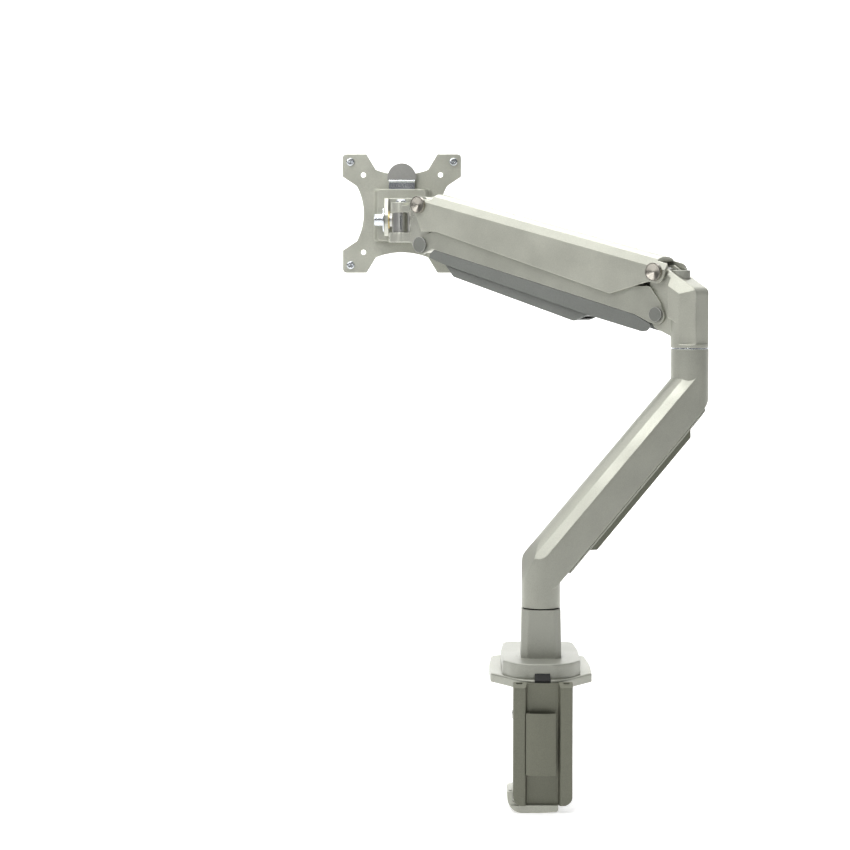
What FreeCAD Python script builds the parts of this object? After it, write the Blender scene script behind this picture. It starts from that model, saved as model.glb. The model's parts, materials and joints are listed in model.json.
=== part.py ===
import FreeCAD, Part
import math
import os
from FreeCAD import Placement, Rotation, Vector

# A desk-clamp monitor arm with a gas-spring lift.  Millimetres, +Z up.
# The origin is the point where the base swivel axis meets the desk top.
# The desk lies toward +Y and the monitor bolts on facing +Y.

SIZES = {
    # base and clamp
    "pad_high": 1.5, "plate_high": 7.6, "plate_half": 43.4, "cover_high": 12.4, "cover_half": 33.0,
    "post_wide": 34.8, "post_neck": 33.4, "post_top": 63.0, "swivel_pin_r": 9.0, "bush_r": 11.5,
    "bracket_half": 25.0, "bracket_low": 96.0, "rail_wide": 10.4, "clip_high": 52.4, "jaw_thick": 6.4,
    "screw_r": 5.0, "screw_high": 69.0, "foot_r": 19.0, "foot_thick": 4.0,
    # lower arm
    "lower_yaw": 25.0, "lower_reach": 146.0, "tube_r": 16.7, "arm_wide": 33.0, "elbow_seam": 285.0,
    "elbow_pin_r": 8.0, "cover_thick": 2.0, "duct_wide": 24.0,
    # elbow head, arm frame starts on the elbow axis
    "upper_yaw": 142.0, "pivot_x": 25.0, "pivot_z": 351.5, "link_drop": 37.5, "lift_rest": 13.2,
    "arm_long": 272.8, "head_wide": 25.6, "pivot_r": 4.0, "pivot_play": 0.05, "knob_r": 8.4,
    # upper arm
    "shell_wide": 37.0, "shell_wall": 2.4, "link_wide": 31.2, "link_wall": 2.4, "gas_r": 9.5,
    "rod_r": 4.0, "gas_line": 14.15, "spring_drop": 16.0,
    # front head and monitor plate
    "pan_reach": 36.9, "ring_low_r": 11.9, "ring_high_r": 9.8, "barrel_r": 8.6, "pan_r": 4.0,
    "tilt_out": 14.5, "tilt_z": 400.5, "tilt_r": 3.5, "ear_gap": 25.0, "rivet_r": 5.0,
    "vesa_z": 407.0, "vesa_thick": 2.6, "vesa_large": 100.0, "vesa_small": 75.0, "vesa_hole_r": 2.4,
}

doc = FreeCAD.newDocument("monitor_arm")
sheet = doc.addObject("Spreadsheet::Sheet", "dims")
for row, (alias, value) in enumerate(SIZES.items(), start=1):
    sheet.set("A%d" % row, alias)
    sheet.set("B%d" % row, str(value))
    sheet.setAlias("B%d" % row, alias)
doc.recompute()


def size(alias):
    return float(sheet.get(alias))


NODES = []
ORIGIN = Placement()


def spin(axis, degrees):
    return Placement(Vector(0, 0, 0), Rotation(axis, degrees))


def shift(x=0.0, y=0.0, z=0.0):
    return Placement(Vector(x, y, z), Rotation())


ALONG_X = spin(Vector(0, 1, 0), 90)
ALONG_Y = spin(Vector(1, 0, 0), -90)


# ---------------------------------------------------------------- shape helpers
def node(obj, label, frame=ORIGIN):
    obj.Label = label
    obj.Placement = frame.multiply(obj.Placement)
    NODES.append(obj)
    return obj


def bind(obj, **rules):
    for prop, rule in rules.items():
        obj.setExpression(prop, rule if isinstance(rule, str) else repr(float(rule)))
    return obj


def box(name, x, y, z, at):
    obj = doc.addObject("Part::Box", name)
    bind(obj, Length=x, Width=y, Height=z)
    obj.Placement = at
    return obj


def block(name, x0, x1, y0, y1, z0, z1):
    return box(name, x1 - x0, y1 - y0, z1 - z0, shift(x0, y0, z0))


def rod(name, radius, height, at=ORIGIN):
    obj = doc.addObject("Part::Cylinder", name)
    bind(obj, Radius=radius, Height=height)
    obj.Placement = at
    return obj


def cone(name, low, high, height, at=ORIGIN):
    obj = doc.addObject("Part::Cone", name)
    bind(obj, Radius1=low, Radius2=high, Height=height)
    obj.Placement = at
    return obj


def fuse(name, *parts):
    obj = doc.addObject("Part::MultiFuse", name)
    obj.Shapes = list(parts)
    obj.Refine = True
    return obj


def cut(name, base, *tools):
    obj = doc.addObject("Part::Cut", name)
    obj.Base = base
    obj.Tool = tools[0] if len(tools) == 1 else fuse(name + "_tools", *tools)
    obj.Refine = True
    return obj


def common(name, first, second):
    obj = doc.addObject("Part::MultiCommon", name)
    obj.Shapes = [first, second]
    return obj


def ring(name, outer, inner, height, at=ORIGIN):
    return cut(name, rod(name + "_out", outer, height, at), rod(name + "_in", inner, height, at))


def rounded(points):
    """Lines and arcs of a closed outline; a point's third number is its corner radius."""
    count = len(points)
    ends = []
    for i in range(count):
        here = Vector(points[i][0], points[i][1], 0)
        radius = points[i][2] if len(points[i]) > 2 else 0.0
        if radius <= 0:
            ends.append((here, None, here))
            continue
        before = points[i - 1]
        after = points[(i + 1) % count]
        back = (Vector(before[0], before[1], 0) - here).normalize()
        ahead = (Vector(after[0], after[1], 0) - here).normalize()
        half = back.getAngle(ahead) / 2
        reach = radius / math.tan(half)
        middle = (back + ahead).normalize()
        centre = here + middle * (radius / math.sin(half))
        ends.append((here + back * reach, centre - middle * radius, here + ahead * reach))
    shapes = []
    for i in range(count):
        start, middle, stop = ends[i]
        if middle is not None:
            shapes.append(Part.Arc(start, middle, stop))
        following = ends[(i + 1) % count][0]
        if (following - stop).Length > 1e-6:
            shapes.append(Part.LineSegment(stop, following))
    return shapes


def base_plane(body, role):
    return [item for item in body.Origin.OriginFeatures if item.Role == role][0]


def slab(name, geometry, length, plane="XY_Plane", middle=False, back=False):
    """A sketch of the geometry padded by a length rule."""
    body = doc.addObject("PartDesign::Body", name)
    sketch = body.newObject("Sketcher::SketchObject", name + "_sketch")
    sketch.AttachmentSupport = [(base_plane(body, plane), "")]
    sketch.MapMode = "FlatFace"
    sketch.addGeometry(geometry, False)
    pad = body.newObject("PartDesign::Pad", name + "_pad")
    pad.Profile = sketch
    pad.setExpression("Length", length if isinstance(length, str) else repr(float(length)))
    if middle:
        if "SideType" in pad.PropertiesList:
            pad.SideType = "Symmetric"
        else:
            pad.Midplane = True
    pad.Reversed = back
    body.Tip = pad
    return body


def moved(obj, frame):
    obj.Placement = frame.multiply(obj.Placement)
    return obj


def edges_where(obj, rule):
    doc.recompute()
    return [i + 1 for i, edge in enumerate(obj.Shape.Edges) if rule(edge)]


def dress(kind, name, obj, amount, rule):
    picked = edges_where(obj, rule)
    out = doc.addObject("Part::" + kind, name)
    out.Base = obj
    out.Edges = [(index, amount, amount) for index in picked]
    doc.recompute()
    if out.Shape.isNull() or not out.Shape.isValid():
        raise RuntimeError("cannot %s %s" % (kind.lower(), name))
    return out


def level(z, close=0.02):
    return lambda edge: all(abs(v.Point.z - z) < close for v in edge.Vertexes)


# ---------------------------------------------------------------- frames
elbow_place = Placement(
    Vector(size("lower_reach") * math.cos(math.radians(size("lower_yaw"))),
           size("lower_reach") * math.sin(math.radians(size("lower_yaw"))), 0), Rotation())
LOWER = spin(Vector(0, 0, 1), size("lower_yaw"))
HEAD = elbow_place.multiply(spin(Vector(0, 0, 1), size("upper_yaw")))
ARM = HEAD.multiply(shift(size("pivot_x"), 0, size("pivot_z"))).multiply(
    spin(Vector(0, 1, 0), -size("lift_rest")))
lift = math.radians(size("lift_rest"))
front_x = size("pivot_x") + size("arm_long") * math.cos(lift)
front_z = size("pivot_z") + size("arm_long") * math.sin(lift)
low_u = -size("link_drop") * math.sin(lift)
low_v = -size("link_drop") * math.cos(lift)
pan_point = HEAD.multVec(Vector(front_x + size("pan_reach"), 0, 0))
PLATE = shift(pan_point.x, pan_point.y, 0)
FRONT = HEAD.multiply(shift(front_x, 0, 0))


# ---------------------------------------------------------------- base
PLATE_FRONT, PLATE_BACK = -54.0, 84.0
COVER_FRONT, COVER_BACK = -47.0, 82.0
DESK_EDGE = -51.0
plate_z = size("pad_high")
cover_z = plate_z + size("plate_high")
post_z = cover_z + size("cover_high")


def tier(half, front, back, shoulder, depth, bow, corner, inset=0.0):
    """Outline with a bowed front edge: depth is how far the front corners sit behind its middle."""
    half, front, back, shoulder = half - inset, front + inset, back - inset, shoulder - inset
    return rounded([(-half + 2, back, 10), (half - 2, back, 10), (half + 0.9, 30, 300),
                    (half, front + depth, corner), (shoulder, front, bow), (-shoulder, front, bow),
                    (-half, front + depth, corner), (-half - 0.9, 30, 300)])


PLATE_SHAPE = (17.0, 38.0, 28.0, 6.0)
COVER_SHAPE = (21.0, 22.6, 26.0, 2.5)
FLANGE_FRONT = -38.0
pad_raw = slab("pad_raw", rounded([(-38, -14, 4), (-23, FLANGE_FRONT + 0.5, 5), (23, FLANGE_FRONT + 0.5, 5),
                                   (38, -14, 4), (37, 78, 10), (-37, 78, 10)]), "dims.pad_high")
node(pad_raw, "base_pad")

# cable exit: a black plug through the middle of the rear edge
NOTCH_LOW, NOTCH_HIGH, NOTCH_TOP = 7.7, 6.3, 13.6
WEB_TOP = 6.8
SLIP = 0.1
notch_outline = [(-NOTCH_LOW, -1), (NOTCH_LOW, -1), (NOTCH_HIGH, NOTCH_TOP), (-NOTCH_HIGH, NOTCH_TOP)]
notch_cut = moved(slab("notch_cut", rounded(notch_outline), 30.0, "XZ_Plane", middle=True), shift(0, -55, 0))
plate_raw = moved(slab("plate_raw", tier(size("plate_half"), PLATE_FRONT, PLATE_BACK, *PLATE_SHAPE),
                       "dims.plate_high"), shift(0, 0, plate_z))
plate_soft = dress("Fillet", "plate_soft", plate_raw, 1.6, level(cover_z))
pocket_half = size("bracket_half") + SLIP
web_pocket = block("web_pocket", -pocket_half, pocket_half, PLATE_FRONT - 6, DESK_EDGE + SLIP,
                   0, WEB_TOP + SLIP)
SCREW_XY = [(-14.0, -43.5), (14.0, -43.5)]
SCREW_R, SCREW_TOP = 2.0, 7.0
screw_holes = [rod("plate_hole%d" % i, SCREW_R, SCREW_TOP, shift(x, y, 0))
               for i, (x, y) in enumerate(SCREW_XY)]
node(cut("plate_done", plate_soft, notch_cut, web_pocket, *screw_holes), "base_plate")

PLUG_INNER = COVER_FRONT + 6
plug_front, plug_rear = PLATE_FRONT + 4 * SLIP, DESK_EDGE + 2 * SLIP
plug_outline = [(PLUG_INNER, plate_z), (plug_rear, plate_z), (plug_rear, WEB_TOP + 2 * SLIP),
                (plug_front, WEB_TOP + 2 * SLIP), (plug_front, cover_z - 4 * SLIP),
                (COVER_FRONT + 3 * SLIP, NOTCH_TOP), (PLUG_INNER, NOTCH_TOP)]
plug_side = slab("plug_side", rounded(plug_outline), 20.0, "YZ_Plane", middle=True)
plug_face = moved(slab("plug_face", rounded(notch_outline), 40.0, "XZ_Plane", middle=True), shift(0, -50, 0))
node(common("plug_raw", plug_side, plug_face), "notch_plug")

cover_raw = moved(slab("cover_raw", tier(size("cover_half"), COVER_FRONT, COVER_BACK, *COVER_SHAPE),
                       "dims.cover_high"), shift(0, 0, cover_z))
cover_soft = dress("Fillet", "cover_soft", cover_raw, 1.4, level(post_z))
COVER_WALL = 2.6
hollow_outline = tier(size("cover_half"), COVER_FRONT, COVER_BACK, *COVER_SHAPE, inset=COVER_WALL)
cover_hollow = moved(slab("cover_hollow", hollow_outline, "dims.cover_high - 3"), shift(0, 0, cover_z - 0.01))
cover_shell = cut("cover_shell", cover_soft, cover_hollow, notch_cut)
cover_ring = cut("cover_ring", cover_shell, rod("cover_mouth", 22.05, 40.0, shift(0, 0, cover_z - 5)))
node(cover_ring, "base_cover")


def soft_square(half, corner):
    cuts = [(half, half - corner), (half - corner, half), (corner - half, half), (-half, half - corner),
            (-half, corner - half), (corner - half, -half), (half - corner, -half), (half, corner - half)]
    return [(x, y, 2.2) for x, y in cuts]


POST_CUT_LOW, POST_CUT_HIGH = 5.0, 6.0
post_body = doc.addObject("PartDesign::Body", "post_raw")
post_low = post_body.newObject("Sketcher::SketchObject", "post_low")
post_low.AttachmentSupport = [(base_plane(post_body, "XY_Plane"), "")]
post_low.MapMode = "FlatFace"
post_low.addGeometry(rounded(soft_square(size("post_wide") / 2, POST_CUT_LOW)), False)
post_high = post_body.newObject("Sketcher::SketchObject", "post_high")
post_high.AttachmentSupport = [(base_plane(post_body, "XY_Plane"), "")]
post_high.MapMode = "FlatFace"
post_high.AttachmentOffset = shift(0, 0, size("post_top") - post_z)
post_high.addGeometry(rounded(soft_square(size("post_neck") / 2, POST_CUT_HIGH)), False)
post_loft = post_body.newObject("PartDesign::AdditiveLoft", "post_loft")
post_loft.Profile = post_low
post_loft.Sections = [post_high]
post_loft.Ruled = True
post_body.Tip = post_loft
post_body.Placement = shift(0, 0, post_z)
foot_flange = rod("post_flange", 22.0, "dims.cover_high", shift(0, 0, cover_z))
post_sum = fuse("post_sum", post_body, foot_flange)
PIN_LOW, PIN_HIGH = 34.0, 98.0
node(cut("post_done", post_sum, rod("post_bore", "dims.swivel_pin_r", 80.0, shift(0, 0, PIN_LOW))),
     "base_post")
node(rod("swivel_raw", "dims.swivel_pin_r", PIN_HIGH - PIN_LOW, shift(0, 0, PIN_LOW)), "swivel_pin")
WASHER = 1.0
node(ring("base_washer_raw", "dims.tube_r - 1.1", "dims.swivel_pin_r", WASHER,
          shift(0, 0, size("post_top"))), "swivel_washer")

# ---------------------------------------------------------------- clamp
WEB_BACK, RAIL_BACK = DESK_EDGE - 5.5, DESK_EDGE - 12.0
low = -size("bracket_low")
half = size("bracket_half")
rail = size("rail_wide")
RAIL_TOP, RAIL_LIP = 8.2, 4.1
channel = [(-half, DESK_EDGE, 1), (-half, RAIL_BACK, 1.4), (-half + rail, RAIL_BACK, 1.4),
           (-half + rail + 1.6, WEB_BACK), (half - rail - 1.6, WEB_BACK), (half - rail, RAIL_BACK, 1.4),
           (half, RAIL_BACK, 1.4), (half, DESK_EDGE, 1)]
bracket_raw = moved(slab("bracket_raw", rounded(channel), RAIL_TOP - low), shift(0, 0, low))
front_view = moved(slab("bracket_outline", rounded([(-half, low, 8), (half, low, 8), (half, RAIL_TOP, 1.2),
                                                    (-half, RAIL_TOP, 1.2)]), 40.0, "XZ_Plane", middle=True),
                   shift(0, DESK_EDGE, 0))
bracket_outline = [(DESK_EDGE + 5, low - 1), (RAIL_BACK - 1, low - 1), (RAIL_BACK - 1, RAIL_LIP - 0.7),
                (WEB_BACK, RAIL_TOP, 1), (DESK_EDGE, WEB_TOP), (DESK_EDGE + 5, WEB_TOP)]
side_view = slab("bracket_side", rounded(bracket_outline), 80.0, "YZ_Plane", middle=True)
bracket_body = common("bracket_body", common("bracket_front", bracket_raw, front_view), side_view)
flange = block("bracket_flange", -22.0, 22.0, DESK_EDGE - 1, FLANGE_FRONT, 0.0, plate_z)
saddle_half = half - rail - 1.0
saddle = block("bracket_saddle", -saddle_half, saddle_half, RAIL_BACK - 1, DESK_EDGE + 1,
               WEB_TOP, RAIL_TOP + 4)
SLOT_HALF = 2.6
slots = [block("rail_slot%d" % i, x - SLOT_HALF, x + SLOT_HALF, WEB_BACK - 2.4, WEB_BACK - 0.8, 1.0, 9.0)
         for i, x in enumerate((-half + rail / 2, half - rail / 2))]
flange_holes = [rod("flange_hole%d" % i, SCREW_R, 10.0, shift(x, y, -5)) for i, (x, y) in enumerate(SCREW_XY)]
JAW_BOLTS = [(-8.0, DESK_EDGE - 2.8), (8.0, DESK_EDGE - 2.8)]
jaw_bores = [rod("jaw_bore%d" % i, 1.6, 14.0, shift(x, y, low - 0.5)) for i, (x, y) in enumerate(JAW_BOLTS)]
bracket_sum = fuse("bracket_sum", bracket_body, flange)
node(cut("bracket_done", bracket_sum, saddle, *(slots + flange_holes + jaw_bores)), "clamp_bracket")
node(fuse("bracket_screw_set", *[rod("bracket_screw%d" % i, SCREW_R, SCREW_TOP, shift(x, y, 0))
                                 for i, (x, y) in enumerate(SCREW_XY)]), "bracket_screws")

CLIP_TOP, CLIP_LEFT, CLIP_RIGHT, CLIP_FOOT = -17.3, -14.3, 10.9, -12.9
CLIP_INNER, CLIP_THICK, CLIP_BOW = -11.0, 1.8, 2.8
clip_face, clip_rear = RAIL_BACK - 0.7, RAIL_BACK + 1.0


def flat(x, y):
    return Vector(x, y, 0)


clip_outer = [Part.Arc(flat(CLIP_LEFT, clip_face), flat(-2.0, clip_face - CLIP_BOW),
                       flat(CLIP_RIGHT, clip_face)),
              Part.LineSegment(flat(CLIP_RIGHT, clip_face), flat(CLIP_RIGHT, clip_rear)),
              Part.Arc(flat(CLIP_RIGHT, clip_rear), flat(-1.0, clip_face - CLIP_BOW + CLIP_THICK),
                       flat(CLIP_INNER, clip_rear - 0.8)),
              Part.LineSegment(flat(CLIP_INNER, clip_rear - 0.8), flat(CLIP_INNER, WEB_BACK)),
              Part.LineSegment(flat(CLIP_INNER, WEB_BACK), flat(CLIP_FOOT, WEB_BACK)),
              Part.LineSegment(flat(CLIP_FOOT, WEB_BACK), flat(CLIP_LEFT, clip_face))]
node(moved(slab("clip_raw", clip_outer, "dims.clip_high"), shift(0, 0, CLIP_TOP - size("clip_high"))),
     "clamp_cable_clip")

SCREW_X, SCREW_Y = -6.0, 12.0
JAW_LEFT, JAW_RIGHT, JAW_FRONT, JAW_BACK = -29.8, 13.4, 34.0, DESK_EDGE - 10.0
jaw_low = low - size("jaw_thick")
jaw_flat = moved(slab("jaw_flat", rounded([(JAW_LEFT, JAW_BACK, 4), (JAW_RIGHT, JAW_BACK, 4),
                                           (JAW_RIGHT, JAW_FRONT, 12), (JAW_LEFT, JAW_FRONT, 12)]),
                      "dims.jaw_thick"), shift(0, 0, jaw_low))
jaw_hook = block("jaw_hook", JAW_LEFT, -half - 0.3, JAW_BACK + 2, -30, jaw_low, -84.5)
jaw_heel = block("jaw_heel", JAW_LEFT, -half + 6, JAW_BACK + 2, -34, jaw_low, low + 3)
heel_outline = [(-half - 0.3, low - 0.3, 8), (20, low - 0.3), (20, 0), (-half - 0.3, 0)]
heel_room = moved(slab("heel_room", rounded(heel_outline), 60.0, "XZ_Plane", middle=True), shift(0, -55, 0))
jaw_rib = block("jaw_rib", -14, 2, DESK_EDGE + 0.4, JAW_FRONT - 6, low - 0.1, low + 7)
jaw_boss = rod("jaw_boss", 11.0, 12.0, shift(SCREW_X, SCREW_Y, low - 0.1))
jaw_outline = [(JAW_LEFT, -60), (JAW_LEFT, jaw_low, 13), (-4, jaw_low - 0.01),
               (JAW_RIGHT, jaw_low + 1.2, 2), (JAW_RIGHT, -60)]
jaw_view = moved(slab("jaw_view", rounded(jaw_outline), 140.0, "XZ_Plane", middle=True), shift(0, -10, 0))
jaw_heel_cut = cut("jaw_heel_cut", jaw_heel, heel_room)
jaw_sum = common("jaw_soft", fuse("jaw_sum", jaw_flat, jaw_hook, jaw_heel_cut, jaw_rib, jaw_boss), jaw_view)
jaw_hole = rod("jaw_thread", "dims.screw_r + 0.05", 60.0, shift(SCREW_X, SCREW_Y, jaw_low - 10))
jaw_slot = block("jaw_hook_slot", JAW_LEFT + 1.6, -half + 1, JAW_BACK + 4, JAW_BACK + 8, -88, -80)
jaw_screw_holes = [rod("jaw_screw_hole%d" % i, 1.6, 12.0, shift(x, y, jaw_low - 1))
                   for i, (x, y) in enumerate(JAW_BOLTS)]
node(cut("jaw_done", jaw_sum, jaw_hole, jaw_slot, *jaw_screw_holes), "clamp_jaw")
node(fuse("jaw_bolt_set", *[rod("jaw_bolt%d" % i, 1.6, 17.0, shift(x, y, jaw_low + 1.5))
                            for i, (x, y) in enumerate(JAW_BOLTS)]), "jaw_screws")

screw_top = jaw_low + 0.6 + size("screw_high")
screw_raw = rod("screw_raw", "dims.screw_r", "dims.screw_high", shift(SCREW_X, SCREW_Y, jaw_low + 0.6))
hex_points = [(3.4 * math.cos(math.radians(a)), 3.4 * math.sin(math.radians(a))) for a in range(0, 360, 60)]
screw_hex = moved(slab("screw_hex", rounded(hex_points), 7.0), shift(SCREW_X, SCREW_Y, jaw_low))
threads = [ring("thread%d" % i, 6.0, 4.55, 0.7, shift(SCREW_X, SCREW_Y, low + 18 + 2.0 * i))
           for i in range(20)]
node(cut("screw_done", screw_raw, screw_hex, *threads), "clamp_screw")
foot_raw = rod("foot_raw", "dims.foot_r", "dims.foot_thick", shift(SCREW_X, SCREW_Y, screw_top - 1.5))
foot_collar = rod("foot_collar", 9.0, 7.0, shift(SCREW_X, SCREW_Y, screw_top - 7))
foot_bore = rod("foot_bore", "dims.screw_r + 0.05", 7.0, shift(SCREW_X, SCREW_Y, screw_top - 7))
node(cut("foot_done", fuse("foot_sum", foot_raw, foot_collar), foot_bore), "pressure_plate")
node(rod("foot_pad_raw", "dims.foot_r - 1", 2.0, shift(SCREW_X, SCREW_Y, screw_top + 2.5)), "pressure_pad")

# ---------------------------------------------------------------- lower arm (x outward, frame LOWER)
reach = size("lower_reach")
tube = size("tube_r")
arm_low = size("post_top") + WASHER + 0.2
arm_high = size("elbow_seam") - 1.2
UNDER = (31.1, 104.6)
SLOPE = 45.7
along = Vector(math.cos(math.radians(SLOPE)), 0, math.sin(math.radians(SLOPE)))
inward = Vector(-along.z, 0, along.x)
DEPTH = 37.0


def on_lower(run, depth):
    """Point of the side view: run along the underside, depth toward the top face."""
    return (UNDER[0] + along.x * run + inward.x * depth, UNDER[1] + along.z * run + inward.z * depth)


def run_at(x, depth):
    return (x - UNDER[0] - inward.x * depth) / along.x


def side_point(x, depth, radius=0.0):
    point = on_lower(run_at(x, depth), depth)
    return (point[0], point[1], radius)


cover_t = size("cover_thick")
BEND_R, TUBE_TOP = 60.0, 91.0
side_outline = [side_point(-tube, DEPTH, BEND_R), (-tube, 79), (tube * 0.35, 82), side_point(tube, cover_t, 0),
                side_point(reach + tube, cover_t, 0), (reach + tube, 262), (reach - tube * 0.2, 268),
                side_point(reach - tube, DEPTH, 0)]
beam_raw = slab("beam_raw", rounded(side_outline), "dims.arm_wide + 0.8", "XZ_Plane", middle=True)


def crowned(name, half_wide, floor, shoulder, top_half, rise, top):
    """A long bar along X whose top has sloped shoulders and a gentle crown."""
    edge_z = top - rise
    outline = [Part.LineSegment(Vector(-half_wide, floor, 0), Vector(half_wide, floor, 0)),
               Part.LineSegment(Vector(half_wide, floor, 0), Vector(half_wide, shoulder, 0)),
               Part.LineSegment(Vector(half_wide, shoulder, 0), Vector(top_half, edge_z, 0)),
               Part.Arc(Vector(top_half, edge_z, 0), Vector(0, top, 0), Vector(-top_half, edge_z, 0)),
               Part.LineSegment(Vector(-top_half, edge_z, 0), Vector(-half_wide, shoulder, 0)),
               Part.LineSegment(Vector(-half_wide, shoulder, 0), Vector(-half_wide, floor, 0))]
    return slab(name, outline, 600.0, "YZ_Plane")


slope_frame = Placement(Vector(UNDER[0], 0, UNDER[1]), Rotation(Vector(0, 1, 0), -SLOPE))
beam_section = moved(crowned("beam_section", size("arm_wide") / 2 + 0.1, -90, DEPTH - 9.4, 10.6, 3.0, DEPTH),
                     slope_frame.multiply(shift(-200)))
beam_soft = common("beam_soft", beam_raw, beam_section)
stadium = slab("arm_plan", [Part.Arc(Vector(0, tube, 0), Vector(-tube, 0, 0), Vector(0, -tube, 0)),
                            Part.LineSegment(Vector(0, -tube, 0), Vector(reach, -tube, 0)),
                            Part.Arc(Vector(reach, -tube, 0), Vector(reach + tube, 0, 0),
                                     Vector(reach, tube, 0)),
                            Part.LineSegment(Vector(reach, tube, 0), Vector(0, tube, 0))], 400.0)
beam = common("beam", beam_soft, stadium)
tube_round = rod("tube_round", "dims.tube_r", TUBE_TOP - arm_low, shift(0, 0, arm_low))
bend_outline = [side_point(-tube, DEPTH, BEND_R), (-tube, arm_low - 1), (tube + 1, arm_low - 1),
                side_point(tube + 1, DEPTH)]
bend_side = slab("bend_side", rounded(bend_outline), "dims.tube_r * 2 + 2", "XZ_Plane", middle=True)
tube_low = common("tube_low", tube_round, bend_side)
tube_high = rod("tube_high", "dims.tube_r", arm_high - 243, shift(reach, 0, 243))
lower_sum = fuse("lower_sum", beam, tube_low, tube_high)
cable_room = moved(block("cable_room", 18, 128, -10, 10, -5, 16), slope_frame)
bottom_bore = rod("bottom_bore", "dims.bush_r", PIN_HIGH + 3.5 - arm_low, shift(0, 0, arm_low - 1))
elbow_bore = rod("elbow_bore", "dims.elbow_pin_r", 60.0, shift(reach, 0, 250))
lower_cut = cut("lower_cut", lower_sum, cable_room, bottom_bore, elbow_bore)
node(lower_cut, "lower_arm", LOWER)

node(ring("bush_raw", "dims.bush_r", "dims.swivel_pin_r + 0.05", 30.0, shift(0, 0, arm_low)),
     "swivel_bush", LOWER)
cover_run0, cover_run1 = run_at(16.0, 0), run_at(reach + 9.5, 0)
SEAM_HIGH, SEAM_DEEP = 0.7, 1.3
cover_half_wide = size("arm_wide") / 2
cover_skin = block("arm_cover_skin", cover_run0 + 6, cover_run1 - 2, -cover_half_wide, cover_half_wide,
                   0.0, cover_t - SEAM_HIGH)
cover_step = block("arm_cover_step", cover_run0 + 6, cover_run1 - 2, SEAM_DEEP - cover_half_wide,
                   cover_half_wide - SEAM_DEEP, 0.0, cover_t)
cover_flat = moved(fuse("arm_cover_flat", cover_skin, cover_step), slope_frame)
node(common("arm_cover_raw", cover_flat, stadium), "lower_arm_cover", LOWER)

DUCT_START, DUCT_STOP, DUCT_HIGH, DUCT_WALL = 17.5, 156.5, 7.2, 1.8
duct_side = [(DUCT_START - 7, 0), (DUCT_START, -DUCT_HIGH), (DUCT_STOP - 7, -DUCT_HIGH), (DUCT_STOP, 0)]
duct_raw = slab("duct_raw", rounded(duct_side), "dims.duct_wide", "XZ_Plane", middle=True)
duct_gap = block("duct_gap", -20, 200, -size("duct_wide") / 2 + DUCT_WALL, size("duct_wide") / 2 - DUCT_WALL,
                 -DUCT_HIGH + DUCT_WALL + 1.7, 1)
duct = cut("duct", duct_raw, duct_gap)
node(duct, "lower_cable_duct", LOWER.multiply(slope_frame))

PIN2_LOW, PIN2_HIGH = 250.0, 322.0
node(rod("elbow_pin_raw", "dims.elbow_pin_r", PIN2_HIGH - PIN2_LOW, shift(reach, 0, PIN2_LOW)),
     "elbow_pin", LOWER)
node(ring("elbow_ring_raw", "dims.tube_r - 0.2", "dims.elbow_pin_r", 1.2, shift(reach, 0, arm_high)),
     "elbow_ring", LOWER)

# ---------------------------------------------------------------- elbow head (frame HEAD)
px, pz = size("pivot_x"), size("pivot_z")
lz = pz - size("link_drop")
seam = size("elbow_seam") + 0.3
wide = size("head_wide") / 2
BACK_X, BACK_HALF, FLANK_X = -12.9, 10.3, 0.7
ROOF_SLOPE, ROOF_DROP = 31.2, 10.3
EAR_R, EAR_HIGH = 8.0, 5.8
roof_at = (24.3, 358.5)


def roof_line(x):
    return roof_at[1] + (x - roof_at[0]) * math.tan(math.radians(ROOF_SLOPE))


column_side = [(BACK_X, seam), (tube, seam), (tube, roof_line(tube), 7), (BACK_X, roof_line(BACK_X), 9)]
column_plan = [(BACK_X, -BACK_HALF, 1.2), (FLANK_X, -tube, 2), (tube, -tube, 15.5), (tube, tube, 15.5),
               (FLANK_X, tube, 2), (BACK_X, BACK_HALF, 1.2)]
column_wall = slab("column_wall", rounded(column_side), "dims.tube_r * 2", "XZ_Plane", middle=True)
column = common("column", column_wall, slab("column_floor", rounded(column_plan), 500.0))
STEP_X = 12.4
flank = slab("flank", rounded([(FLANK_X, 305.6, 2), (STEP_X, 311.4, 2), (STEP_X, roof_line(STEP_X)),
                               (FLANK_X, roof_line(FLANK_X))]),
             "dims.tube_r * 2 - 0.1", "XZ_Plane", middle=True)
tongue_side = [(4, 292), (13, 295.5, 6), (px + 5, 302.8, 8), (px + 9, lz + 2, 8), (px + 8.5, pz - 10, 6),
               (px + EAR_R, pz + EAR_HIGH, EAR_HIGH), (px - EAR_R, pz + EAR_HIGH, EAR_HIGH - 0.5),
               (px - EAR_R, roof_line(px - EAR_R) - 0.5, 1), (4, roof_line(4) - 0.5)]
tongue = slab("tongue", rounded(tongue_side), "dims.head_wide", "XZ_Plane", middle=True)
roof_bar = slab("roof_bar", rounded([(-tube - 2, -120), (tube + 2, -120), (tube + 2, -ROOF_DROP - 3.2),
                                     (BACK_HALF, 0, 1), (-BACK_HALF, 0, 1), (-tube - 2, -ROOF_DROP - 3.2)]),
                200.0, "YZ_Plane", middle=True)
roof = moved(roof_bar, Placement(Vector(roof_at[0], 0, roof_at[1]), Rotation(Vector(0, 1, 0), -ROOF_SLOPE)))
neck = rod("neck_round", "dims.tube_r - 0.1", 2.5, shift(0, 0, seam))
head_bottom = fuse("head_bottom", common("head_top", fuse("head_solid", column, flank, tongue), roof), neck)
fork_room = block("fork_room", 12.6, 70, -7.5, 7.5, lz - 30, pz + 30)
elbow_hole = rod("elbow_hole", "dims.elbow_pin_r + 0.05", PIN2_HIGH + 1 - seam + 2, shift(0, 0, seam - 2))


def cross(name, radius, span, x, z):
    """A pin shape along the fold axis, centred on the arm."""
    return rod(name, radius, span, shift(x, -span / 2, z).multiply(ALONG_Y))


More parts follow.
